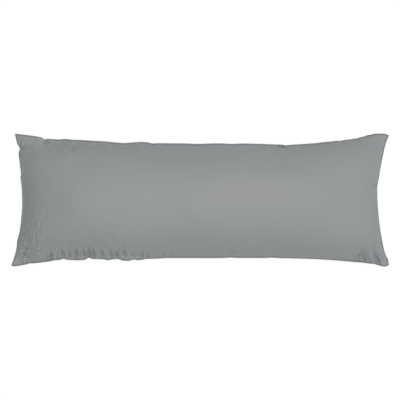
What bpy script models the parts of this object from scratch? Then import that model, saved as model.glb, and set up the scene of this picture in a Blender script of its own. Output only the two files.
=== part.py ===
"""Body pillow: two cloth panels sewn edge to edge round a loose fibre filling, lying flat on its back.

Metres, +Z up. X runs along the pillow, Y across it, and the top face looks up. The origin is the middle
of the pillow's outline, on the floor. It is one closed solid, because the filling fills the cover.

A place on a panel is given as it is seen from above, before the sides are drawn in: along is the distance
from the left end and across is the distance from the near seam.
"""

import math

import bmesh
import bpy
import numpy as np

# The cover. A panel is cut 54 by 20 inches, and the seams take 8 mm off every edge.
CUT_LENGTH = 1.372
CUT_WIDTH = 0.508
SEAM_ALLOWANCE = 0.008
PANEL_LENGTH = CUT_LENGTH - 2 * SEAM_ALLOWANCE
PANEL_WIDTH = CUT_WIDTH - 2 * SEAM_ALLOWANCE

# The filling draws the cover up, so from above the pillow is a little shorter and narrower than a panel.
DRAWN_UP_LENGTH = 0.012
DRAWN_UP_WIDTH = 0.015
LENGTH = PANEL_LENGTH - DRAWN_UP_LENGTH
WIDTH = PANEL_WIDTH - DRAWN_UP_WIDTH

# The seam runs round the pillow at SEAM_HEIGHT and the crown stands above it. The belly under it would
# reach below the floor, so the floor presses it flat, with a rounded edge.
SEAM_HEIGHT = 0.085
CROWN = 0.105
BELLY = 0.120
FLOOR_ROUNDING = 0.024
END_ROUNDNESS = 5.0
SIDE_ROUNDNESS = 2.15

# The seam wanders gently up and down on its way round.
SEAM_WAVE = 0.0035
SEAM_WAVE_LENGTH = 0.37

# The four corners of the cover. Each tip stands out a little from the corner of LENGTH by WIDTH, and
# hangs below the seam. Its empty flap reaches some way along the long seam and along the end seam.
CORNERS = (
    # end, side, out along, out across, droop, flap along, flap across
    (-1, -1, 0.0030, -0.0012, 0.018, 0.080, 0.085),
    (1, -1, 0.0045, 0.0015, 0.022, 0.115, 0.070),
    (-1, 1, -0.0110, 0.0012, 0.010, 0.108, 0.052),
    (1, 1, 0.0040, 0.0015, 0.012, 0.075, 0.060),
)

# The thickness of a corner flap as a share of the filled height there, and how far the flap takes to
# swell into the filled body.
EAR_THICKNESS = 0.16
EAR_SOFTNESS = 0.085

# How far each seam is drawn in between its corners, and how full its curve is at either end.
SEAMS = {
    # side: (drawn in, fullness at first corner, fullness at second corner)
    "near": (0.0355, 4.0, 4.4),
    "far": (0.0350, 2.4, 3.6),
    "left": (0.0350, 2.3, 1.7),
    "right": (0.0440, 1.8, 1.9),
}

# Soft swells of the seam line, which are hollows or notches if they go outwards by less than nothing.
SWELLS = (
    # side, place along the seam, outwards, half width
    ("near", 0.187, -0.0040, 0.009),
    ("near", 0.245, 0.0042, 0.024),
    ("near", 0.278, -0.0035, 0.009),
    ("near", 0.378, -0.0045, 0.016),
    ("near", 0.420, 0.0100, 0.085),
    ("near", 0.650, 0.0012, 0.120),
    ("near", 1.258, -0.0015, 0.034),
    ("near", 1.344, -0.0085, 0.009),
    ("far", 0.114, -0.0070, 0.005),
    ("far", 0.128, -0.0050, 0.036),
    ("far", 0.386, -0.0034, 0.026),
    ("far", 0.460, 0.0030, 0.030),
    ("far", 0.660, -0.0020, 0.036),
    ("far", 1.002, -0.0068, 0.115),
    ("far", 1.285, 0.0080, 0.046),
    ("far", 1.344, -0.0071, 0.009),
    ("left", 0.097, 0.0034, 0.018),
    ("left", 0.311, 0.0030, 0.020),
    ("left", 0.424, -0.0095, 0.008),
    ("left", 0.440, -0.0020, 0.030),
    ("right", 0.026, 0.0050, 0.018),
    ("right", 0.280, -0.0030, 0.040),
    ("right", 0.446, -0.0016, 0.030),
)

# Tucks where the seam puckers: troughs that run from the seam into both panels, or ridges if the depth
# is below nothing. A tuck with a lean above nothing turns towards the second corner of its seam.
TUCKS = (
    # side, place along the seam, lean, half width, reach, depth
    ("near", 0.132, -0.15, 0.0060, 0.036, 0.0070),
    ("near", 0.184, -0.35, 0.0070, 0.042, 0.0095),
    ("near", 0.206, -0.35, 0.0055, 0.034, 0.0060),
    ("near", 0.236, -0.35, 0.0080, 0.042, 0.0100),
    ("near", 0.260, -0.30, 0.0055, 0.038, 0.0060),
    ("near", 0.279, -0.30, 0.0065, 0.044, 0.0080),
    ("near", 0.299, -0.25, 0.0060, 0.038, 0.0075),
    ("near", 0.328, -0.40, 0.0085, 0.038, 0.0095),
    ("near", 0.359, -0.20, 0.0080, 0.038, 0.0095),
    ("near", 0.382, -0.10, 0.0060, 0.034, 0.0080),
    ("near", 0.406, -0.20, 0.0080, 0.038, 0.0095),
    ("near", 0.473, -0.10, 0.0060, 0.032, 0.0065),
    ("near", 1.232, 0.10, 0.0080, 0.040, -0.0060),
    ("near", 1.254, -0.10, 0.0100, 0.050, 0.0070),
    ("near", 1.288, 0.00, 0.0090, 0.060, -0.0060),
    ("near", 1.307, -0.35, 0.0080, 0.065, 0.0120),
    ("far", 0.121, -0.70, 0.0085, 0.060, 0.0090),
    ("far", 0.973, 0.70, 0.0085, 0.036, 0.0060),
    ("far", 1.172, 0.30, 0.0100, 0.036, 0.0035),
    ("left", 0.426, 0.30, 0.0100, 0.050, 0.0110),
    ("right", 0.290, -0.50, 0.0120, 0.060, 0.0060),
)
TUCK_SHOULDER = 0.35
TUCK_FULL_AT = 0.30
TUCK_AT_SEAM = 0.32

# Along this stretch of the near seam the seam is pulled up and the back panel bulges out below it.
ROLL_START = 0.255
ROLL_END = 0.445
ROLL_EASE = 0.040
ROLL_OUT = 0.004
ROLL_LIFT = 0.014
ROLL_REACH = 0.040

# Slow unevenness of the filling.
LUMPS = (
    # wave length along, wave length across, phase, height
    (0.41, 0.60, 0.7, 0.0022),
    (0.23, 0.35, 2.1, 0.0014),
)

# The grid of faces takes even steps over the crown, and more columns and rows at the tucks.
COLUMNS = 50
ROWS = 24
LINE_SPACING = 1.25
LEAST_LINE_STEP = 0.0050
LEAST_GRID_STEP = 0.0090
CROWN_SAMPLES = 2001

WELD_DISTANCE = 0.000001

CLOTH_COLOUR = (0.288, 0.311, 0.318)
CLOTH_ROUGHNESS = 0.75


def soft_step(low, high, value):
    """0 below low, 1 above high, and a smooth ramp between them."""
    share = min(max((value - low) / (high - low), 0.0), 1.0)
    return share * share * (3 - 2 * share)


def bell(distance, half_width):
    """A rounded hump, 1 in the middle and close to 0 at twice its half width."""
    return math.exp(-((distance / half_width) ** 2))


def seam_draw(side, share):
    """How far the seam lies inside the straight line between its corners, at a share from -1 to 1."""
    drawn_in, first, second = SEAMS[side]
    inward = drawn_in * (1 - abs(share) ** (first if share < 0 else second))
    place = (share + 1) / 2 * (LENGTH if side in ("near", "far") else WIDTH)
    for swell_side, swell_place, outwards, half_width in SWELLS:
        if swell_side == side:
            inward -= outwards * bell(place - swell_place, half_width)
    return inward


def plan_place(along, across):
    """Where a point of the panels lies in plan: the straight-sided cover, with each seam drawn in."""
    u, v = 2 * along / LENGTH - 1, 2 * across / WIDTH - 1
    x = ((1 - u) * seam_draw("left", v) - (1 + u) * seam_draw("right", v)) / 2
    y = ((1 - v) * seam_draw("near", u) - (1 + v) * seam_draw("far", u)) / 2
    for end, side, out_along, out_across, _, _, _ in CORNERS:
        weight = (1 + end * u) * (1 + side * v) / 4
        x += weight * end * (LENGTH / 2 + out_along)
        y += weight * side * (WIDTH / 2 + out_across)
    return x, y


def flap_shares(corner, along, across):
    """How far a place is from a corner, along the long and the end seam, as shares of its flap."""
    end, side, _, _, _, flap_along, flap_across = corner
    from_end = along if end < 0 else LENGTH - along
    from_side = across if side < 0 else WIDTH - across
    return from_end / flap_along, from_side / flap_across


def filled(along, across):
    """1 where the filling fills the cover, and a small share in the flat flap of each corner."""
    share = 1.0
    for corner in CORNERS:
        _, _, _, _, _, flap_along, flap_across = corner
        shares = flap_shares(corner, along, across)
        past_fold = (sum(shares) - 1) / math.hypot(1 / flap_along, 1 / flap_across)
        swelling = soft_step(-EAR_SOFTNESS / 2, EAR_SOFTNESS, past_fold)
        share = min(share, EAR_THICKNESS + (1 - EAR_THICKNESS) * swelling)
    return share


def rolled(along):
    """1 along the stretch where the back panel bulges out below the near seam, and 0 beyond it."""
    begun = soft_step(ROLL_START, ROLL_START + ROLL_EASE, along)
    return begun - soft_step(ROLL_END - ROLL_EASE, ROLL_END, along)


def seam_height(along, across, rise):
    """The height of the surface between the two panels: nearly level, with hanging corner tips."""
    wave = SEAM_WAVE * math.sin(math.tau * (along + across) / SEAM_WAVE_LENGTH)
    height = SEAM_HEIGHT + wave * (1 - rise)
    for corner in CORNERS:
        _, _, _, _, droop, _, _ = corner
        height -= droop * bell(math.hypot(*flap_shares(corner, along, across)), 1)
    return height + ROLL_LIFT * rolled(along) * (1 - soft_step(0, ROLL_REACH, across))


def profile(share, roundness):
    """The filled height at a share from -1 to 1 of the way across, as a share of the greatest height."""
    return math.sqrt(max(1 - abs(share) ** roundness, 0.0))


def unpressed_place(along, across, upper):
    """Where a point of a panel lies before its tucks are pressed in and the floor flattens it."""
    x, y = plan_place(along, across)
    rise = profile(2 * along / LENGTH - 1, END_ROUNDNESS) * profile(2 * across / WIDTH - 1, SIDE_ROUNDNESS)
    rise *= filled(along, across)
    level = seam_height(along, across, rise)
    if upper:
        return x, y, level + (CROWN + lump_height(along, across)) * rise
    bulge = ROLL_OUT * rolled(along) * math.sin(math.pi * min(across / ROLL_REACH, 1.0))
    return x, y - bulge, level - BELLY * rise


def lump_height(along, across):
    """The slow unevenness of the filling."""
    height = 0.0
    for wave_along, wave_across, phase, size in LUMPS:
        turn_along = math.tau * along / wave_along + phase
        turn_across = math.tau * across / wave_across + phase
        height += size * math.sin(turn_along) * math.cos(turn_across)
    return height


def from_seam(side, along, across):
    """A place as (distance in from the seam, place along the seam)."""
    return {
        "near": (across, along),
        "far": (WIDTH - across, along),
        "left": (along, across),
        "right": (LENGTH - along, across),
    }[side]


def tuck_depth(along, across):
    """How far the tucks press the cloth in here."""
    depth = 0.0
    for side, place, lean, half_width, reach, deepest in TUCKS:
        inwards, sideways = from_seam(side, along, across)
        sideways -= place
        down_tuck = max(inwards * math.cos(lean) + sideways * math.sin(lean), 0) / reach
        off_tuck = sideways * math.cos(lean) - inwards * math.sin(lean)
        if down_tuck < 1:
            full = TUCK_AT_SEAM + (1 - TUCK_AT_SEAM) * soft_step(0, TUCK_FULL_AT, down_tuck)
            trough = bell(off_tuck, half_width) - TUCK_SHOULDER * bell(off_tuck, 2 * half_width)
            depth += deepest * full * (1 - down_tuck) * trough
    return depth


def above_floor(height):
    """The height, rounded off towards the floor and never below it."""
    closeness = max(FLOOR_ROUNDING - abs(height), 0) / FLOOR_ROUNDING
    return max(height, 0) + closeness**2 * FLOOR_ROUNDING / 4


def even_steps(count, span, roundness):
    """Places across a span that are even steps apart over the crown, so they crowd at the seams."""
    shares = np.sin(np.linspace(-math.pi / 2, math.pi / 2, CROWN_SAMPLES))
    heights = [CROWN * profile(share, roundness) for share in shares]
    strides = np.hypot(np.diff(shares) * span / 2, np.diff(heights))
    arc = np.concatenate([[0], np.cumsum(strides)])
    places = np.interp(np.linspace(0, arc[-1], count + 1), arc, (shares + 1) / 2 * span)
    return [float(place) for place in places]


def grid_places(count, span, roundness, sides):
    """Grid lines across a span: three for each tuck of the sides, and even steps everywhere else."""
    lines = []
    for side, place, _, half_width, _, _ in TUCKS:
        if side in sides:
            lines += [place - LINE_SPACING * half_width, place, place + LINE_SPACING * half_width]
    kept = []
    for line in sorted(lines):
        if not kept or line - kept[-1] > LEAST_LINE_STEP:
            kept.append(line)
    steps = even_steps(count, span, roundness)
    steps = [
        step for number, step in enumerate(steps)
        if number in (0, count) or all(abs(step - line) > LEAST_GRID_STEP for line in kept)
    ]
    return sorted(kept + steps)


def split_corner_face(tip):
    """Cuts a panel's corner face inwards from its tip, so that the other panel's can't lie on it."""
    beside = [edge.other_vert(tip) for edge in tip.link_edges]
    face = tip.link_faces[0]
    inner = next(vert for vert in face.verts if vert != tip and vert not in beside)
    bmesh.utils.face_split(face, tip, inner)


def add_panel(bm, layers, columns, rows, upper):
    """Adds one panel as a grid, shaped to its filled form. The lower panel faces down."""
    made = bmesh.ops.create_grid(bm, x_segments=len(columns) - 1, y_segments=len(rows) - 1, size=1)
    for vert in made["verts"]:
        along = columns[round((vert.co.x + 1) / 2 * (len(columns) - 1))]
        across = rows[round((vert.co.y + 1) / 2 * (len(rows) - 1))]
        vert[layers["along"]] = along
        vert[layers["across"]] = across
        vert.co = unpressed_place(along, across, upper)
    for vert in made["verts"]:
        if len(vert.link_faces) == 1:
            split_corner_face(vert)
    if not upper:
        faces = {face for vert in made["verts"] for face in vert.link_faces}
        bmesh.ops.reverse_faces(bm, faces=list(faces))


def centre_on_origin(bm):
    """Moves the pillow sideways so that the middle of its outline is over the origin."""
    for axis in range(2):
        places = [vert.co[axis] for vert in bm.verts]
        middle = (min(places) + max(places)) / 2
        for vert in bm.verts:
            vert.co[axis] -= middle


def build_pillow():
    """The filled cover as one closed mesh, with its gathers, pinches and empty corners."""
    bm = bmesh.new()
    layers = {name: bm.verts.layers.float.new(name) for name in ("along", "across")}
    columns = grid_places(COLUMNS, LENGTH, END_ROUNDNESS, ("near", "far"))
    rows = grid_places(ROWS, WIDTH, SIDE_ROUNDNESS, ("left", "right"))
    for upper in (True, False):
        add_panel(bm, layers, columns, rows, upper)
    bmesh.ops.remove_doubles(bm, verts=bm.verts, dist=WELD_DISTANCE)
    bm.normal_update()
    pressed = [
        vert.co - vert.normal * tuck_depth(vert[layers["along"]], vert[layers["across"]])
        for vert in bm.verts
    ]
    for vert, place in zip(bm.verts, pressed):
        vert.co = (place.x, place.y, above_floor(place.z))
    centre_on_origin(bm)
    mesh = bpy.data.meshes.new("pillow")
    bm.to_mesh(mesh)
    bm.free()
    mesh.shade_smooth()
    return mesh


def cloth_material():
    """Smooth grey woven microfibre."""
    material = bpy.data.materials.new("grey_microfibre")
    material.use_nodes = True
    shader = material.node_tree.nodes["Principled BSDF"]
    shader.inputs["Base Color"].default_value = (*CLOTH_COLOUR, 1)
    shader.inputs["Roughness"].default_value = CLOTH_ROUGHNESS
    shader.inputs["Metallic"].default_value = 0.0
    return material


def main():
    for obj in list(bpy.data.objects):
        bpy.data.objects.remove(obj)
    pillow = bpy.data.objects.new("pillow", build_pillow())
    pillow.data.materials.append(cloth_material())
    bpy.context.scene.collection.objects.link(pillow)


main()
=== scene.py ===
import math
import random

import bmesh
import bpy
import numpy as np
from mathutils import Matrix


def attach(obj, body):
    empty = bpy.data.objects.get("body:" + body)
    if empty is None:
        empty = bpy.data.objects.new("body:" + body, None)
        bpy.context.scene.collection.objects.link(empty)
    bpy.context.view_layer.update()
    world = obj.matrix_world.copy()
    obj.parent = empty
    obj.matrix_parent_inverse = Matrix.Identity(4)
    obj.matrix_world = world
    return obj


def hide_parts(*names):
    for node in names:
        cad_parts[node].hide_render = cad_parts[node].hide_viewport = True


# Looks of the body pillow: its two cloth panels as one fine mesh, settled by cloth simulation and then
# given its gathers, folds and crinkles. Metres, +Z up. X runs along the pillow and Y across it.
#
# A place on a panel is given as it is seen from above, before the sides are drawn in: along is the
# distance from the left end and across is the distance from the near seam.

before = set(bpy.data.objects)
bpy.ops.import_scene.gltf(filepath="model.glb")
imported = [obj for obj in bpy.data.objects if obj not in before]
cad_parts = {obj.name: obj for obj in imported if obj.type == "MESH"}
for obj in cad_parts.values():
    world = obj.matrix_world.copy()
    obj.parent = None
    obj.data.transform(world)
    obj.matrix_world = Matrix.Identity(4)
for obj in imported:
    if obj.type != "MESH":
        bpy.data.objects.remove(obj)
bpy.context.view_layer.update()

# The cover and how it fills out, in the same sizes as the solid.
LENGTH = 1.344
WIDTH = 0.477
SEAM_HEIGHT = 0.085
CROWN = 0.105
BELLY = 0.120
FLOOR_ROUNDING = 0.024
END_ROUNDNESS = 5.0
SIDE_ROUNDNESS = 2.15
SEAM_WAVE = 0.0035
SEAM_WAVE_LENGTH = 0.37

# The four corners. Each tip stands out a little from the corner of LENGTH by WIDTH and hangs below the
# seam. Its empty flap reaches some way along the long seam and along the end seam.
CORNERS = (
    # end, side, out along, out across, droop, flap along, flap across
    (-1, -1, 0.0030, -0.0012, 0.012, 0.080, 0.085),
    (1, -1, 0.0045, 0.0015, 0.022, 0.115, 0.070),
    (-1, 1, -0.0110, 0.0012, 0.005, 0.108, 0.052),
    (1, 1, 0.0040, 0.0015, 0.012, 0.075, 0.060),
)
EAR_THICKNESS = 0.16
EAR_SOFTNESS = 0.085

# How far each seam is drawn in between its corners, and how full its curve is at either end.
SEAMS = {
    # side: (drawn in, fullness at first corner, fullness at second corner)
    "near": (0.0355, 4.0, 4.4),
    "far": (0.0350, 2.4, 3.6),
    "left": (0.0350, 2.3, 1.7),
    "right": (0.0440, 1.8, 1.9),
}

# Soft swells of the seam line, which are hollows or notches if they go outwards by less than nothing.
SWELLS = (
    # side, place along the seam, outwards, half width

    # The bends of the seam and the ends of its corners.
    ("near", 0.245, 0.0042, 0.024),
    ("near", 0.420, 0.0100, 0.085),
    ("near", 0.650, 0.0012, 0.120),
    ("near", 1.258, -0.0015, 0.034),
    ("near", 1.344, -0.0085, 0.009),
    ("far", 0.128, -0.0050, 0.036),
    ("far", 0.386, -0.0034, 0.026),
    ("far", 0.460, 0.0030, 0.030),
    ("far", 0.660, -0.0020, 0.036),
    ("far", 1.002, -0.0068, 0.115),
    ("far", 1.285, 0.0088, 0.046),
    ("far", 1.344, -0.0071, 0.009),
    ("left", 0.440, -0.0020, 0.030),
    ("left", 0.270, 0.0018, 0.024),
    ("left", 0.311, 0.0030, 0.020),
    ("left", 0.097, 0.0034, 0.018),
    ("right", 0.026, 0.0050, 0.018),
    ("right", 0.280, -0.0030, 0.040),
    ("right", 0.446, -0.0016, 0.030),

    # The small notches and steps along the stitching.
    ("right", 0.290, -0.0022, 0.007),
    ("near", 0.000, -0.0058, 0.008),
    ("left", 0.000, -0.0015, 0.010),
    ("near", 0.067, -0.0025, 0.009),
    ("near", 0.160, -0.0030, 0.014),
    ("near", 0.187, -0.0055, 0.009),
    ("near", 0.278, -0.0055, 0.009),
    ("near", 0.378, -0.0055, 0.016),
    ("near", 0.482, -0.0025, 0.012),
    ("near", 0.778, -0.0025, 0.012),
    ("near", 0.925, -0.0022, 0.012),
    ("near", 1.290, -0.0025, 0.012),
    ("near", 0.436, -0.0045, 0.008),
    ("far", 0.108, -0.0065, 0.006),
    ("far", 0.158, -0.0020, 0.009),
    ("far", 0.208, -0.0015, 0.012),
    ("far", 0.350, -0.0015, 0.012),
    ("far", 0.494, -0.0028, 0.010),
    ("far", 0.777, -0.0020, 0.020),
    ("far", 0.975, -0.0035, 0.009),
    ("far", 1.083, -0.0018, 0.006),
    ("far", 1.128, -0.0014, 0.006),
    ("far", 1.169, -0.0032, 0.006),
    ("far", 1.201, -0.0012, 0.005),
    ("far", 1.226, -0.0020, 0.005),
    ("far", 1.252, -0.0016, 0.005),
    ("far", 1.277, -0.0014, 0.005),
    ("left", 0.424, -0.0095, 0.008),
)

# How far a swell reaches into the panels, in its own half widths, and which way is out of the pillow.
SWELL_REACH = 6
OUTWARDS = {"near": (0, -1), "far": (0, 1), "left": (-1, 0), "right": (1, 0)}

# Along this stretch of the near seam the seam is pulled up and the back panel bulges out below it.
ROLL_START = 0.255
ROLL_END = 0.445
ROLL_EASE = 0.040
ROLL_OUT = 0.004
ROLL_LIFT = 0.014
ROLL_REACH = 0.040

# Slow unevenness of the filling.
LUMPS = (
    # wave length along, wave length across, phase, height
    (0.41, 0.60, 0.7, 0.0022),
    (0.23, 0.35, 2.1, 0.0014),
)

# Tucks where the seam puckers: troughs that run from the seam into both panels, or ridges if the depth
# is below nothing. A tuck with a lean above nothing turns towards the second corner of its seam.
TUCKS = (
    # side, place along the seam, lean, half width, reach, depth
    ("near", 0.132, -0.15, 0.0045, 0.034, 0.0050),
    ("near", 0.143, -0.25, 0.0040, 0.030, 0.0040),
    ("near", 0.184, -0.35, 0.0060, 0.042, 0.0075),
    ("near", 0.206, -0.35, 0.0045, 0.034, 0.0050),
    ("near", 0.236, -0.35, 0.0065, 0.042, 0.0080),
    ("near", 0.260, -0.30, 0.0045, 0.038, 0.0050),
    ("near", 0.279, -0.30, 0.0055, 0.044, 0.0070),
    ("near", 0.299, -0.25, 0.0050, 0.038, 0.0065),
    ("near", 0.328, -0.40, 0.0065, 0.038, 0.0080),
    ("near", 0.359, -0.20, 0.0065, 0.038, 0.0080),
    ("near", 0.382, -0.10, 0.0050, 0.034, 0.0065),
    ("near", 0.406, -0.20, 0.0065, 0.038, 0.0075),
    ("near", 0.473, -0.10, 0.0055, 0.032, 0.0055),
    ("near", 1.232, 0.10, 0.0080, 0.040, -0.0060),
    ("near", 1.254, -0.10, 0.0100, 0.050, 0.0070),
    ("near", 1.288, 0.00, 0.0090, 0.060, -0.0060),
    ("near", 1.307, -0.35, 0.0070, 0.065, 0.0050),
    ("far", 0.121, -0.70, 0.0075, 0.060, 0.0080),
    ("far", 0.973, 0.70, 0.0070, 0.036, 0.0060),
    ("far", 1.172, 0.30, 0.0090, 0.036, 0.0035),
    ("left", 0.425, 0.30, 0.0080, 0.050, 0.0120),
    ("right", 0.290, -0.50, 0.0100, 0.060, 0.0060),
)
TUCK_SHOULDER = 0.35
TUCK_FULL_AT = 0.30
TUCK_AT_SEAM = 0.32

# How high above the seam the camera stands. The folds below are placed as they look from there, so what
# lies above the seam looks a little further out than it is.
VIEW_HEIGHT = 3.956

# Gathers along the left of the near seam, in millimetres from the pillow's middle. Each is strongest
# near where it runs from and fades out on its way. A depth below nothing makes a ridge.
GATHERS = (
    # from x, from y, to x, to y, half width, depth
    (-541, -215, -545, -184, 3.0, 5.0),
    (-529, -214, -531, -177, 3.0, 8.0),
    (-509, -209, -511, -188, 2.6, 2.5),
    (-482, -204, -500, -166, 4.1, 6.5),
    (-461, -205, -473, -173, 3.2, 3.5),
    (-436, -202, -448, -164, 3.8, 6.5),
    (-445, -213, -449, -198, 3.0, 3.0),
    (-409, -202, -423, -166, 3.2, 4.5),
    (-391, -201, -402, -163, 3.5, 6.0),
    (-373, -201, -388, -166, 3.5, 6.0),
    (-343, -201, -363, -168, 3.0, 5.0),
    (-356, -211, -359, -198, 3.0, 2.5),
    (-315, -200, -322, -172, 3.5, 4.5),
    (-296, -202, -298, -170, 3.5, 5.5),
    (-270, -202, -273, -168, 4.3, 6.5),
    (-251, -202, -252, -184, 2.3, 2.0),
    (-240, -200, -241, -180, 2.6, 4.5),
    (-207, -205, -208, -170, 4.1, 3.5),
    (-188, -205, -190, -180, 4.1, 3.0),
    (-149, -205, -151, -188, 2.3, 2.5),
    (-130, -200, -130, -182, 2.3, 4.0),
    (-103, -202, -106, -180, 2.3, 2.5),
    (-84, -209, -85, -197, 2.6, 3.0),

    # The ridges between them.
    (-518, -209, -519, -177, 3.0, -4.0),
    (-475, -202, -487, -168, 3.0, -3.5),
    (-452, -204, -461, -177, 2.6, -2.5),
    (-414, -198, -434, -166, 3.2, -3.0),
    (-401, -197, -414, -156, 2.6, -2.5),
    (-388, -184, -413, -120, 3.0, -2.2),
    (-450, -177, -449, -109, 2.3, -1.0),
    (-333, -198, -345, -164, 5.2, -3.0),
    (-305, -198, -308, -168, 3.5, -2.5),
    (-359, -163, -357, -102, 2.3, -0.9),
    (-279, -184, -291, -131, 2.6, -2.4),
    (-262, -170, -263, -70, 2.0, -0.8),
    (-195, -207, -201, -172, 3.0, -4.5),
    (-178, -204, -179, -188, 2.6, -1.5),
    (-163, -205, -164, -193, 2.0, -1.2),
    (-144, -204, -144, -188, 2.3, -1.5),
    (-121, -204, -121, -184, 2.3, -2.0),
    (-98, -202, -96, -179, 2.6, -2.0),
    (-73, -204, -73, -189, 2.3, -1.2),

    # The raised lip along the stitching.
    (-435, -206, -345, -207, 2.4, -1.2),
    (-395, -206, -305, -207, 2.4, -1.2),
    (-355, -207, -260, -208, 2.4, -1.2),
)
GATHER_STRENGTH = 4.2

# The other folds, each given in a row like those of the gathers.
CREASES = (
    # from x, from y, to x, to y, half width, depth

    # Near left corner.
    (-688, -260, -612, -126, 7.5, -9.0),
    (-639, -213, -605, -138, 4.3, 5.0),
    (-619, -198, -596, -127, 3.2, -4.5),
    (-601, -186, -598, -163, 3.6, 4.0),
    (-591, -188, -589, -141, 3.6, 2.8),
    (-580, -191, -569, -134, 3.2, -2.4),
    (-594, -91, -573, -38, 2.5, -1.0),
    (-614, -77, -601, -42, 2.5, -0.8),
    (-640, -128, -607, -91, 3.6, 3.0),
    (-641, -108, -612, -74, 3.0, 2.0),
    (-614, -152, -605, -140, 3.2, 1.5),

    # Far left corner.
    (-594, 231, -544, 205, 3.0, -3.0),
    (-562, 210, -488, 214, 3.6, 9.0),
    (-570, 211, -592, 185, 2.4, 2.0),
    (-579, 213, -600, 188, 2.4, -1.8),
    (-588, 213, -607, 190, 2.4, 1.8),
    (-648, 218, -626, 208, 4.6, 1.0),
    (-640, 228, -612, 218, 4.3, -1.0),
    (-632, 184, -613, 206, 6.4, -2.0),
    (-450, 214, -480, 188, 2.3, -3.4),
    (-472, 208, -497, 180, 2.3, -2.8),
    (-438, 208, -467, 180, 4.3, 2.2),
    (-406, 206, -439, 175, 4.3, 2.0),
    (-350, 204, -330, 192, 3.6, -2.0),
    (-340, 200, -360, 176, 5.3, 1.8),

    # Far seam.
    (-240, 204, -234, 176, 6.4, 3.0),
    (-201, 204, -193, 174, 6.4, 3.0),
    (-167, 204, -161, 180, 5.0, 2.4),
    (-115, 204, -110, 178, 5.7, 2.4),
    (-90, 204, -94, 174, 4.6, 2.7),
    (120, 200, 108, 170, 5.7, 3.0),
    (152, 200, 144, 164, 5.7, 3.0),
    (226, 200, 217, 170, 5.7, 2.7),
    (287, 208, 312, 166, 3.9, 9.0),
    (274, 206, 300, 166, 3.6, 6.0),
    (340, 198, 322, 168, 4.6, 2.7),
    (369, 200, 361, 170, 5.7, 3.0),
    (397, 198, 381, 170, 4.3, 2.5),
    (465, 208, 449, 174, 6.4, 3.6),
    (483, 212, 470, 182, 5.7, 3.6),

    # Far right corner.
    (522, 214, 518, 190, 4.3, 2.0),
    (557, 224, 579, 202, 3.9, 2.6),
    (606, 236, 626, 212, 3.9, 4.0),

    # Right seam.
    (627, 49, 575, 35, 7.1, 1.5),
    (634, 49, 606, 58, 3.6, 3.5),
    (632, 38, 600, 34, 4.6, -1.6),

    # Near right corner.
    (548, -215, 553, -198, 3.2, 2.5),
    (557, -226, 557, -180, 4.6, -7.0),
    (565, -193, 580, -206, 3.2, 5.0),
    (568, -234, 568, -156, 6.5, 12.0),
    (580, -236, 580, -156, 8.0, 9.0),
    (593, -238, 593, -160, 8.0, 4.0),
    (560, -171, 600, -171, 3.0, 3.0),
    (611, -230, 611, -160, 5.7, -7.0),
    (640, -246, 617, -152, 4.8, 10.0),
    (634, -226, 608, -132, 4.6, 10.0),
    (554, -177, 611, -166, 6.4, 1.2),
    (586, -165, 602, -164, 2.5, -1.0),
    (556, -156, 557, -138, 2.8, -0.6),
    (509, -202, 511, -173, 6.4, -0.8),
    (454, -213, 458, -189, 7.1, 0.9),
)
CREASE_STRENGTH = 2.5
CREASE_FULL_AT = 0.30
CREASE_FADING = 1.6
CREASE_SHOULDER = 0.30
CREASE_SPREAD = 0.5
CREASE_BOW = 0.03
BACK_SHARE = 0.6

# Areas of fine crinkles that lie much the same way, in millimetres and degrees.
CRINKLES = (
    # how many, middle x, middle y, half area x, half area y, direction, turn, length, half width, depth
    (60, -582, -113, 48, 80, 72, 12, 45, 2.4, 1.3),
    (34, -622, -20, 16, 150, 40, 10, 26, 2.2, 2.4),
    (110, -400, -120, 170, 60, 97, 25, 24, 2.6, 0.5),
    (30, -400, -150, 150, 36, 94, 8, 50, 2.6, 0.8),
    (44, -470, 182, 120, 24, 50, 5, 40, 2.4, 0.6),
    (50, 300, 184, 280, 22, 62, 24, 26, 2.6, 1.5),
    (12, -614, 208, 30, 14, 40, 40, 20, 2.6, 1.6),
    (24, -589, -202, 50, 16, 90, 50, 18, 2.6, 1.8),
    (8, 650, -205, 14, 24, 100, 15, 28, 3.0, 1.2),
    (24, 580, -150, 50, 40, 90, 60, 18, 3.0, 0.9),
    (60, 0, 0, 600, 180, 90, 90, 90, 9.0, 0.7),
)
CRINKLE_SEED = 5

# Small puckers along the stitching.
PUCKERS = (
    # side, spacing, reach, depth
    ("near", 0.019, 0.016, 0.0026),
    ("far", 0.027, 0.020, 0.0032),
    ("left", 0.027, 0.014, 0.0010),
    ("right", 0.030, 0.014, 0.0012),
)
PUCKER_HALF_WIDTH = 0.005
PUCKER_SEED = 3

# Grain of the cloth that is too fine for the mesh: soft creases that all lie one way, in metres. The
# hairs of a real nap are a few hundredths of a millimetre thick, far too fine to show, so the nap is
# drawn as coarse as 4 mm.
GRAINS = (
    # name, direction in degrees, length and width of a crease, height
    ("upright", 74, 0.0320, 0.0085, 0.0065),
    ("crepe", 98, 0.0120, 0.0058, 0.0022),
    ("slanting", 48, 0.0400, 0.0080, 0.0055),
    ("crumpled", 70, 0.0240, 0.0100, 0.0085),
    ("nap", 0, 0.0040, 0.0040, 0.0003),
)
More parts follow.
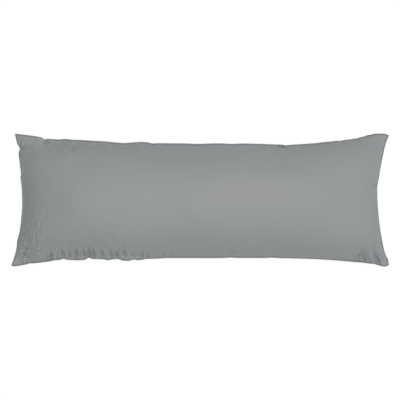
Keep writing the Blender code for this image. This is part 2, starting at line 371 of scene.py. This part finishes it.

# Where each grain shows, where the slightly warmer painted highlight lies, and where painted shade
# darkens the cloth, or painted light lightens it if its strength is below nothing. They are soft ovals,
# in millimetres from the pillow's middle.
PATCHES = (
    # name, middle x, middle y, half width, half height, strength
    ("upright", -585, -110, 42, 85, 1.0),
    ("upright", -400, -150, 160, 40, 0.4),
    ("crepe", -400, -130, 190, 75, 1.0),
    ("crepe", -560, -150, 60, 60, 0.6),
    ("slanting", -470, 180, 130, 50, 1.0),
    ("slanting", -620, -10, 40, 150, 0.6),
    ("slanting", 60, 190, 420, 32, 0.5),
    ("crumpled", -610, -195, 60, 45, 1.0),
    ("crumpled", -612, 208, 45, 20, 0.6),
    ("crumpled", 590, -200, 45, 32, 0.6),
    ("nap", 0, 0, 900, 900, 1.0),
    # A slightly warmer painted highlight on the crown.
    ("bloom", 150, 25, 410, 80, 0.75),
    # Painted shade, and painted light where the strength is below nothing.
    ("shade", -622, 0, 42, 80, 0.40),
    ("shade", -638, -115, 14, 40, 0.40),
    ("shade", 60, -203, 420, 14, -0.12),
    ("shade", 620, -60, 20, 70, 0.30),
    ("shade", -330, 194, 190, 24, 0.18),
    ("shade", 440, 200, 170, 18, 0.20),
    ("shade", 294, 192, 5, 4, 0.50),
    ("shade", 301, 184, 5, 4, 0.60),
    ("shade", 308, 176, 5, 4, 0.60),
    ("shade", 410, 193, 9, 6, 0.45),
    ("shade", 500, 203, 10, 6, 0.35),
    ("shade", 548, 214, 12, 6, 0.40),
    ("shade", 600, 226, 14, 5, 0.40),
    ("shade", 576, -193, 21, 22, 0.75),
    ("shade", 620, 54, 6, 7, 1.00),
    ("shade", 624, 38, 6, 6, -0.30),
    ("shade", -585, 222, 50, 22, -0.50),
    ("shade", -568, 219, 15, 5, -0.60),
    ("shade", -558, 190, 44, 32, -0.25),
    ("shade", -542, -203, 26, 16, -0.30),
    ("shade", -642, -228, 24, 12, -0.25),
    ("shade", -600, -190, 60, 45, -0.30),
    ("shade", -655, -225, 24, 24, -0.30),
    ("shade", -290, -203, 150, 4, -1.00),
)
SHADE_DEPTH = 0.20

# The cloth's colours: plain, with a slightly warmer painted highlight on the crown, and with painted
# shade along the seam.
CLOTH_GREY = "8e9293"
HIGHLIGHT_GREY = "919293"
SEAM_SHADE_GREY = "737a7c"

# How far the painted shade along the seam reaches in from it.
SEAM_SHADE_FROM = 0.002
SEAM_SHADE_TO = 0.008

# The mesh, before its one subdivision. Its columns crowd on the left and its rows at the near seam,
# where the gathers are.
COLUMNS = 172
ROWS = 66
COLUMNS_CROWDED_TO = 0.44
COLUMNS_CROWDED_FROM = 1.22
ROWS_CROWDED_TO = 0.09
CROWDING = 1.2
CROWDING_EASE = 0.08
CROWN_SAMPLES = 2001
WELD_DISTANCE = 0.000001

# The cloth simulation: how hard the filling presses, how long it runs, and how far the cloth may move.
PRESSURE = 4.0
LAST_FRAME = 20
MOST_MOVED = 0.006
LEAST_MOVED = 1e-9


def soft_step(low, high, value):
    """0 below low, 1 above high, and a smooth ramp between them."""
    share = np.clip((value - low) / (high - low), 0, 1)
    return share * share * (3 - 2 * share)


def bell(distance, half_width):
    """A rounded hump, 1 in the middle and close to 0 at twice its half width."""
    return np.exp(-((distance / half_width) ** 2))


def seam_draw(side, share):
    """How far the seam lies inside the straight line between its corners, at shares from -1 to 1."""
    drawn_in, first, second = SEAMS[side]
    return drawn_in * (1 - np.abs(share) ** np.where(share < 0, first, second))


def plan_place(along, across):
    """Where points of the panels lie in plan: the straight-sided cover, with each seam drawn in."""
    u, v = 2 * along / LENGTH - 1, 2 * across / WIDTH - 1
    x = ((1 - u) * seam_draw("left", v) - (1 + u) * seam_draw("right", v)) / 2
    y = ((1 - v) * seam_draw("near", u) - (1 + v) * seam_draw("far", u)) / 2
    for end, side, out_along, out_across, _, _, _ in CORNERS:
        weight = (1 + end * u) * (1 + side * v) / 4
        x += weight * end * (LENGTH / 2 + out_along)
        y += weight * side * (WIDTH / 2 + out_across)
    for side, place, outwards, half_width in SWELLS:
        inwards, sideways = from_seam(side, along, across)
        reach = min(SWELL_REACH * half_width, WIDTH)
        moved = outwards * bell(sideways - place, half_width) * (1 - soft_step(0, reach, inwards))
        step_x, step_y = OUTWARDS[side]
        x += step_x * moved
        y += step_y * moved
    return x, y


def flap_shares(corner, along, across):
    """How far places are from a corner, along the long and the end seam, as shares of its flap."""
    end, side, _, _, _, flap_along, flap_across = corner
    from_end = along if end < 0 else LENGTH - along
    from_side = across if side < 0 else WIDTH - across
    return from_end / flap_along, from_side / flap_across


def filled(along, across):
    """1 where the filling fills the cover, and a small share in the flat flap of each corner."""
    share = np.ones_like(along)
    for corner in CORNERS:
        _, _, _, _, _, flap_along, flap_across = corner
        a, b = flap_shares(corner, along, across)
        past_fold = (a + b - 1) / math.hypot(1 / flap_along, 1 / flap_across)
        swelling = soft_step(-EAR_SOFTNESS / 2, EAR_SOFTNESS, past_fold)
        share = np.minimum(share, EAR_THICKNESS + (1 - EAR_THICKNESS) * swelling)
    return share


def rolled(along):
    """1 along the stretch where the back panel bulges out below the near seam, and 0 beyond it."""
    begun = soft_step(ROLL_START, ROLL_START + ROLL_EASE, along)
    return begun - soft_step(ROLL_END - ROLL_EASE, ROLL_END, along)


def seam_level(along, across, rise):
    """The height of the surface between the two panels: nearly level, with hanging corner tips."""
    wave = SEAM_WAVE * np.sin(math.tau * (along + across) / SEAM_WAVE_LENGTH)
    height = SEAM_HEIGHT + wave * (1 - rise)
    for corner in CORNERS:
        _, _, _, _, droop, _, _ = corner
        height -= droop * bell(np.hypot(*flap_shares(corner, along, across)), 1)
    return height + ROLL_LIFT * rolled(along) * (1 - soft_step(0, ROLL_REACH, across))


def profile(share, roundness):
    """The filled height at shares from -1 to 1 of the way across, as a share of the greatest height."""
    return np.sqrt(np.clip(1 - np.abs(share) ** roundness, 0, None))


def lump_height(along, across):
    """The slow unevenness of the filling."""
    height = np.zeros_like(along)
    for wave_along, wave_across, phase, size in LUMPS:
        turn_along = math.tau * along / wave_along + phase
        turn_across = math.tau * across / wave_across + phase
        height += size * np.sin(turn_along) * np.cos(turn_across)
    return height


def filled_place(along, across, upper):
    """Where points of the panels lie once the cover is filled, before any small fold."""
    x, y = plan_place(along, across)
    rise = profile(2 * along / LENGTH - 1, END_ROUNDNESS)
    rise = rise * profile(2 * across / WIDTH - 1, SIDE_ROUNDNESS)
    rise = rise * filled(along, across)
    level = seam_level(along, across, rise)
    top = level + (CROWN + lump_height(along, across)) * rise
    under = above_floor(level - BELLY * rise)
    bulge = ROLL_OUT * rolled(along) * np.sin(math.pi * np.clip(across / ROLL_REACH, 0, 1))
    return np.stack([x, np.where(upper, y, y - bulge), np.where(upper, top, under)], axis=1)


def above_floor(height):
    """The height, rounded off towards the floor and never below it."""
    closeness = np.clip(FLOOR_ROUNDING - np.abs(height), 0, None) / FLOOR_ROUNDING
    return np.clip(height, 0, None) + closeness**2 * FLOOR_ROUNDING / 4


def from_seam(side, along, across):
    """Places as (distance in from the seam, place along the seam)."""
    return {
        "near": (across, along),
        "far": (WIDTH - across, along),
        "left": (along, across),
        "right": (LENGTH - along, across),
    }[side]


def tuck_depth(along, across, tucks):
    """How far tucks press the cloth in."""
    depth = np.zeros_like(along)
    for side, place, lean, half_width, reach, deepest in tucks:
        inwards, sideways = from_seam(side, along, across)
        sideways = sideways - place
        down_tuck = np.clip(inwards * math.cos(lean) + sideways * math.sin(lean), 0, reach) / reach
        off_tuck = sideways * math.cos(lean) - inwards * math.sin(lean)
        full = TUCK_AT_SEAM + (1 - TUCK_AT_SEAM) * soft_step(0, TUCK_FULL_AT, down_tuck)
        trough = bell(off_tuck, half_width) - TUCK_SHOULDER * bell(off_tuck, 2 * half_width)
        depth += deepest * full * (1 - down_tuck) * trough
    return depth


def stitch_puckers():
    """Rows like those of TUCKS for the small puckers all along the stitching."""
    chance = random.Random(PUCKER_SEED)
    for side, spacing, reach, depth in PUCKERS:
        span = LENGTH if side in ("near", "far") else WIDTH
        place = spacing
        while place < span - spacing:
            size = chance.uniform(0.4, 1.3)
            lean = chance.uniform(-0.3, 0.3)
            yield side, place, lean, PUCKER_HALF_WIDTH * size, reach * size, depth * size
            place += spacing * chance.uniform(0.5, 1.5)


def crinkle_rows():
    """Rows like those of CREASES for the fine crinkles."""
    chance = random.Random(CRINKLE_SEED)
    for how_many, middle_x, middle_y, half_x, half_y, *lie in CRINKLES:
        direction, turn, length, half_width, depth = lie
        for _ in range(how_many):
            x = middle_x + chance.uniform(-half_x, half_x)
            y = middle_y + chance.uniform(-half_y, half_y)
            angle = math.radians(direction + chance.uniform(-turn, turn))
            reach = length * chance.uniform(0.6, 1.4)
            step_x, step_y = math.cos(angle) * reach / 2, math.sin(angle) * reach / 2
            size = depth * chance.uniform(0.4, 1.2) * chance.choice((-1, 1))
            wide = half_width * chance.uniform(0.7, 1.3)
            yield x - step_x, y - step_y, x + step_x, y + step_y, wide, size


def crease_depth(points, creases):
    """How far creases press the cloth in, in millimetres like the creases."""
    nearer = VIEW_HEIGHT / (VIEW_HEIGHT + SEAM_HEIGHT - points[:, 2])
    x, y = points[:, 0] * nearer * 1000, points[:, 1] * nearer * 1000
    depth = np.zeros_like(x)
    for number, (from_x, from_y, to_x, to_y, half_width, deepest) in enumerate(creases):
        run_x, run_y = to_x - from_x, to_y - from_y
        length = math.hypot(run_x, run_y)
        share = np.clip(((x - from_x) * run_x + (y - from_y) * run_y) / length**2, 0, 1)
        bow = CREASE_BOW * length * np.sin(math.pi * share) * (1 if number % 2 else -1)
        off = ((x - from_x) * run_y - (y - from_y) * run_x) / length + bow
        wide = half_width * (1 + CREASE_SPREAD * share)
        trough = bell(off, wide) - CREASE_SHOULDER * bell(off, 2 * wide)
        strong = soft_step(0, CREASE_FULL_AT, share) * (1 - share) ** CREASE_FADING
        depth += deepest * strong * trough
    return depth


def even_steps(count, span, roundness, crowded_to, crowded_from):
    """Places across a span that are even steps apart over the crown, and closer near the folded ends."""
    shares = np.sin(np.linspace(-math.pi / 2, math.pi / 2, CROWN_SAMPLES))
    places = (shares + 1) / 2 * span
    strides = np.hypot(np.diff(places), np.diff(CROWN * profile(shares, roundness)))
    crowded = 1 - soft_step(crowded_to, crowded_to + CROWDING_EASE, places[1:])
    crowded += soft_step(crowded_from - CROWDING_EASE, crowded_from, places[1:])
    arc = np.concatenate([[0], np.cumsum(strides * (1 + CROWDING * crowded))])
    return np.interp(np.linspace(0, arc[-1], count + 1), arc, places)


def split_corner_face(tip):
    """Cuts a panel's corner face inwards from its tip, so that the other panel's can't lie on it."""
    beside = [edge.other_vert(tip) for edge in tip.link_edges]
    face = tip.link_faces[0]
    inner = next(vert for vert in face.verts if vert != tip and vert not in beside)
    bmesh.utils.face_split(face, tip, inner)


def sewn_panels(columns, rows):
    """Two flat panels joined all round their edge, as a mesh that keeps each point's place."""
    bm = bmesh.new()
    for side in (1, -1):
        made = bmesh.ops.create_grid(bm, x_segments=len(columns) - 1, y_segments=len(rows) - 1, size=1)
        for vert in made["verts"]:
            if len(vert.link_faces) == 1:
                split_corner_face(vert)
            if not vert.is_boundary:
                vert.co.z = side
        if side < 0:
            faces = {face for vert in made["verts"] for face in vert.link_faces}
            bmesh.ops.reverse_faces(bm, faces=list(faces))
    bmesh.ops.remove_doubles(bm, verts=bm.verts, dist=WELD_DISTANCE)
    crease = bm.edges.layers.float.new("crease_edge")
    tip_crease = bm.verts.layers.float.new("crease_vert")
    for edge in bm.edges:
        if all(vert.co.z == 0 for vert in edge.verts):
            edge[crease] = 1
    for vert in bm.verts:
        if abs(vert.co.x) == 1 and abs(vert.co.y) == 1:
            vert[tip_crease] = 1
    mesh = bpy.data.meshes.new("cover")
    bm.to_mesh(mesh)
    bm.free()
    flat = points_of(mesh)
    steps_along = (flat[:, 0] + 1) / 2 * (len(columns) - 1)
    steps_across = (flat[:, 1] + 1) / 2 * (len(rows) - 1)
    keep_values(mesh, "along", np.interp(steps_along, range(len(columns)), columns))
    keep_values(mesh, "across", np.interp(steps_across, range(len(rows)), rows))
    keep_values(mesh, "face", flat[:, 2])
    return mesh


def points_of(mesh):
    """A mesh's points as rows of x, y and z."""
    points = np.zeros(len(mesh.vertices) * 3)
    mesh.vertices.foreach_get("co", points)
    return points.reshape(-1, 3)


def move_points(mesh, points):
    """Puts a mesh's points at rows of x, y and z."""
    mesh.vertices.foreach_set("co", points.ravel())
    mesh.update()


def keep_values(mesh, name, values):
    """Keeps a number for each point of a mesh under a name."""
    attribute = mesh.attributes.new(name, "FLOAT", "POINT")
    attribute.data.foreach_set("value", np.asarray(values, dtype=np.float32))


def kept_values(mesh, name):
    """The numbers kept under a name."""
    values = np.zeros(len(mesh.vertices), dtype=np.float32)
    mesh.attributes[name].data.foreach_get("value", values)
    return values.astype(float)


def settle(cover):
    """Lets the filling press the cloth out for a moment, held at the seam, and keeps how it settles."""
    start = points_of(cover.data)
    seam = cover.vertex_groups.new(name="seam")
    on_seam = np.flatnonzero(kept_values(cover.data, "face") == 0)
    seam.add([int(number) for number in on_seam], 1, "REPLACE")
    cloth = cover.modifiers.new("cloth", "CLOTH")
    cloth.settings.vertex_group_mass = "seam"
    cloth.settings.use_pressure = True
    cloth.settings.uniform_pressure_force = PRESSURE
    cloth.settings.effector_weights.gravity = 0
    cloth.point_cache.frame_end = LAST_FRAME
    for number in range(1, LAST_FRAME + 1):
        bpy.context.scene.frame_set(number)
    settled = points_of(cover.evaluated_get(bpy.context.evaluated_depsgraph_get()).data)
    cover.modifiers.remove(cloth)
    bpy.context.scene.frame_set(1)
    moved = settled - start
    distance = np.linalg.norm(moved, axis=1, keepdims=True)
    moved *= MOST_MOVED * np.tanh(distance / MOST_MOVED) / np.maximum(distance, LEAST_MOVED)
    points = start + moved
    points[:, 2] = np.maximum(points[:, 2], 0)
    move_points(cover.data, points)


def subdivide(cover):
    """Subdivides the cover once, as a smooth surface with a sharp seam."""
    modifier = cover.modifiers.new("finer", "SUBSURF")
    modifier.levels = 1
    modifier.render_levels = 1
    finer = bpy.data.meshes.new_from_object(cover.evaluated_get(bpy.context.evaluated_depsgraph_get()))
    cover.modifiers.clear()
    cover.data = finer


def press_in(mesh, depth):
    """Presses folds into a mesh, where depth is how deep they are in its front at each point.

    A fold goes in along the cloth's normals, and less deep in the back. In the flat corners both panels
    fold down together like one sheet. Nothing goes lower than the floor.
    """
    along, across, face = (kept_values(mesh, name) for name in ("along", "across", "face"))
    flat = (1 - filled(along, across)) / (1 - EAR_THICKNESS)
    share = np.clip(face, 0, 1) + BACK_SHARE * np.clip(-face, 0, 1)
    normals = np.zeros(len(mesh.vertices) * 3)
    mesh.vertex_normals.foreach_get("vector", normals)
    points = points_of(mesh) - normals.reshape(-1, 3) * (depth * share * (1 - flat))[:, None]
    points[:, 2] = np.maximum(points[:, 2] - depth * flat, 0)
    move_points(mesh, points)


def press_folds(cover):
    """Presses the tucks and folds into the finished cover."""
    mesh = cover.data
    tucks = [*TUCKS, *stitch_puckers()]
    press_in(mesh, tuck_depth(kept_values(mesh, "along"), kept_values(mesh, "across"), tucks))
    press_in(mesh, GATHER_STRENGTH * crease_depth(points_of(mesh), GATHERS) / 1000)
    creases = [*CREASES, *crinkle_rows()]
    press_in(mesh, CREASE_STRENGTH * crease_depth(points_of(mesh), creases) / 1000)
    points = points_of(mesh)
    points[:, :2] -= (points[:, :2].min(axis=0) + points[:, :2].max(axis=0)) / 2
    move_points(mesh, points)


def patch_values(points, wanted):
    """How strongly the patches of a name show at each point, from -1 to 1."""
    x, y = points[:, 0] * 1000, points[:, 1] * 1000
    strength = np.zeros_like(x)
    for name, middle_x, middle_y, half_width, half_height, strongest in PATCHES:
        if name == wanted:
            away = np.hypot((x - middle_x) / half_width, (y - middle_y) / half_height)
            strength += strongest * bell(away, 1)
    return np.clip(strength, -1, 1)


def keep_looks(mesh):
    """Keeps what the cloth's material needs to know at each point."""
    for name in sorted({patch[0] for patch in PATCHES}):
        keep_values(mesh, name, patch_values(points_of(mesh), name))
    along, across = kept_values(mesh, "along"), kept_values(mesh, "across")
    # Painted shade along the seam: 1 at the seam, fading out a little way in.
    inwards = np.minimum(np.minimum(along, LENGTH - along), np.minimum(across, WIDTH - across))
    keep_values(mesh, "edge", 1 - soft_step(SEAM_SHADE_FROM, SEAM_SHADE_TO, inwards))


def build_pillow():
    """The pillow's cover as one finished piece."""
    columns = even_steps(COLUMNS, LENGTH, END_ROUNDNESS, COLUMNS_CROWDED_TO, COLUMNS_CROWDED_FROM)
    rows = even_steps(ROWS, WIDTH, SIDE_ROUNDNESS, ROWS_CROWDED_TO, WIDTH)
    mesh = sewn_panels(columns, rows)
    along, across = kept_values(mesh, "along"), kept_values(mesh, "across")
    move_points(mesh, filled_place(along, across, kept_values(mesh, "face") >= 0))
    cover = bpy.data.objects.new("pillow_cover", mesh)
    bpy.context.scene.collection.objects.link(cover)
    settle(cover)
    subdivide(cover)
    press_folds(cover)
    keep_looks(cover.data)
    cover.data.shade_smooth()
    return cover


def linear(hex_colour):
    """An sRGB hex colour as linear red, green, blue and alpha."""
    parts = [int(hex_colour[start:start + 2], 16) / 255 for start in (0, 2, 4)]
    return [*(part / 12.92 if part <= 0.04045 else ((part + 0.055) / 1.055) ** 2.4 for part in parts), 1]


def add_node(material, kind, settings=None, links=None):
    """Adds a node with its settings by name, and links its inputs from other nodes' outputs."""
    node = material.node_tree.nodes.new(kind)
    for name, value in (settings or {}).items():
        if isinstance(name, int) or name in node.inputs:
            node.inputs[name].default_value = value
        else:
            setattr(node, name, value)
    for name, (source, output) in (links or {}).items():
        material.node_tree.links.new(source.outputs[output], node.inputs[name])
    return node


def brushed_microfibre():
    """Plain grey brushed microfibre, tightly woven.

    It looks smooth and matt, with a faint sheen where it turns away. Its colour holds painted light and
    shade in soft lighter and darker areas, a slightly warmer painted highlight on the crown, and painted
    shade along the seam.
    """
    material = bpy.data.materials.new("brushed_microfibre")
    material.use_nodes = True
    shader = material.node_tree.nodes["Principled BSDF"]
    shader.inputs["Roughness"].default_value = 0.6
    shader.inputs["Specular IOR Level"].default_value = 0.35
    shader.inputs["Sheen Weight"].default_value = 0.08
    shader.inputs["Sheen Roughness"].default_value = 0.5
    place = add_node(material, "ShaderNodeTexCoord")
    height = add_node(material, "ShaderNodeValue")
    for name, direction, length, width, tall in GRAINS:
        turned = add_node(
            material,
            "ShaderNodeMapping",
            {
                "vector_type": "TEXTURE",
                "Rotation": (0, 0, math.radians(direction)),
                "Scale": (length, width, width),
            },
            {"Vector": (place, "Object")},
        )
        creases = add_node(
            material,
            "ShaderNodeTexNoise",
            {"Scale": 1.0, "Detail": 1.0, "Roughness": 0.5},
            {"Vector": (turned, "Vector")},
        )
        patch = add_node(material, "ShaderNodeAttribute", {"attribute_name": name})
        strength = add_node(
            material, "ShaderNodeMath", {"operation": "MULTIPLY", 1: tall}, {0: (patch, "Fac")}
        )
        height = add_node(
            material,
            "ShaderNodeMath",
            {"operation": "MULTIPLY_ADD"},
            {0: (creases, "Fac"), 1: (strength, "Value"), 2: (height, "Value")},
        )
    raised = add_node(material, "ShaderNodeBump", {"Distance": 1.0}, {"Height": (height, "Value")})
    material.node_tree.links.new(raised.outputs["Normal"], shader.inputs["Normal"])

    # A slightly warmer painted highlight on the crown.
    bloom = add_node(material, "ShaderNodeAttribute", {"attribute_name": "bloom"})
    edge = add_node(material, "ShaderNodeAttribute", {"attribute_name": "edge"})
    highlighted = add_node(
        material,
        "ShaderNodeMixRGB",
        {"Color1": linear(CLOTH_GREY), "Color2": linear(HIGHLIGHT_GREY)},
        {"Fac": (bloom, "Fac")},
    )
    # Painted shade along the seam.
    seam_shaded = add_node(
        material,
        "ShaderNodeMixRGB",
        {"Color2": linear(SEAM_SHADE_GREY)},
        {"Fac": (edge, "Fac"), "Color1": (highlighted, "Color")},
    )
    # Painted shade darkens the colour, and painted light lightens it where the strength is below
    # nothing.
    shade = add_node(material, "ShaderNodeAttribute", {"attribute_name": "shade"})
    lightness = add_node(
        material,
        "ShaderNodeMath",
        {"operation": "MULTIPLY_ADD", 1: -SHADE_DEPTH, 2: 1.0},
        {0: (shade, "Fac")},
    )
    shaded = add_node(
        material,
        "ShaderNodeVectorMath",
        {"operation": "SCALE"},
        {"Vector": (seam_shaded, "Color"), "Scale": (lightness, "Value")},
    )
    material.node_tree.links.new(shaded.outputs["Vector"], shader.inputs["Base Color"])
    return material


# The floor lies a hair under the pillow, so that the two never share a plane, and off its middle, so
# that the line where the floor's two triangles join isn't under the pillow.
FLOOR_HALF_WIDTH = 12.0
FLOOR_MIDDLE = (0, 2, -0.001)
FLOOR_GREY = "a0a0a0"
FLOOR_GLOW = 0.72


def white_floor():
    """A plain white studio table of matt acrylic, softly lit, and clear from below to show the back."""
    material = bpy.data.materials.new("white_acrylic")
    material.use_nodes = True
    shader = material.node_tree.nodes["Principled BSDF"]
    shader.inputs["Base Color"].default_value = linear(FLOOR_GREY)
    shader.inputs["Roughness"].default_value = 0.9
    shader.inputs["Specular IOR Level"].default_value = 0.0
    shader.inputs["Emission Color"].default_value = (1, 1, 1, 1)
    shader.inputs["Emission Strength"].default_value = FLOOR_GLOW
    below = add_node(material, "ShaderNodeNewGeometry")
    clear = add_node(material, "ShaderNodeBsdfTransparent")
    seen = add_node(
        material,
        "ShaderNodeMixShader",
        links={0: (below, "Backfacing"), 1: (shader, "BSDF"), 2: (clear, "BSDF")},
    )
    surface = material.node_tree.nodes["Material Output"].inputs["Surface"]
    material.node_tree.links.new(seen.outputs["Shader"], surface)
    return material


def add_floor():
    """A wide floor just under the pillow."""
    bm = bmesh.new()
    bmesh.ops.create_grid(bm, x_segments=1, y_segments=1, size=FLOOR_HALF_WIDTH)
    bmesh.ops.translate(bm, vec=FLOOR_MIDDLE, verts=bm.verts)
    mesh = bpy.data.meshes.new("floor")
    bm.to_mesh(mesh)
    bm.free()
    mesh.materials.append(white_floor())
    floor = bpy.data.objects.new("floor", mesh)
    bpy.context.scene.collection.objects.link(floor)


# Soft boxes that all look at the pillow, and weak white light from all round.
SOFT_BOXES = (
    # name, place, width, watts
    ("overhead", (0.0, 0.0, 8.0), 3.0, 448.0),
    ("right", (6.1, 0.0, 5.1), 3.0, 138.0),
    ("far", (0.0, 5.7, 5.7), 3.0, 30.0),
)
WORLD_STRENGTH = 0.156


def add_studio():
    """Lights the pillow mostly from above, with the left end a little darker."""
    world = bpy.data.worlds.new("studio")
    world.use_nodes = True
    world.node_tree.nodes["Background"].inputs["Color"].default_value = (1, 1, 1, 1)
    world.node_tree.nodes["Background"].inputs["Strength"].default_value = WORLD_STRENGTH
    bpy.context.scene.world = world
    for name, place, width, watts in SOFT_BOXES:
        light = bpy.data.lights.new(name, "AREA")
        light.size = width
        light.energy = watts
        holder = bpy.data.objects.new(name, light)
        holder.location = place
        holder.rotation_euler = (-holder.location).to_track_quat("-Z", "Y").to_euler()
        bpy.context.scene.collection.objects.link(holder)
    bpy.context.scene.view_settings.view_transform = "Standard"


# The camera looks straight down on the crown, so that a millimetre is the same everywhere on the seam.
IMAGE_SIDE = 400
LENS = 100.0
SENSOR = 36.0
METRES_PER_PIXEL = VIEW_HEIGHT * SENSOR / LENS / IMAGE_SIDE
CLIP_END = 100

# The pixel where the pillow's middle lies.
PHOTO_MIDDLE = (200.6, 200.2)


def add_camera():
    """A camera high above, with the pillow's length across the picture."""
    camera = bpy.data.cameras.new("camera")
    camera.lens = LENS
    camera.sensor_width = SENSOR
    camera.clip_end = CLIP_END
    holder = bpy.data.objects.new("camera", camera)
    right = (IMAGE_SIDE / 2 - PHOTO_MIDDLE[0]) * METRES_PER_PIXEL
    up = (PHOTO_MIDDLE[1] - IMAGE_SIDE / 2) * METRES_PER_PIXEL
    holder.location = (right, up, SEAM_HEIGHT + VIEW_HEIGHT)
    bpy.context.scene.collection.objects.link(holder)
    bpy.context.scene.camera = holder


pillow = build_pillow()
pillow.data.materials.append(brushed_microfibre())
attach(pillow, "root")
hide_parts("pillow")
add_floor()
add_studio()
add_camera()
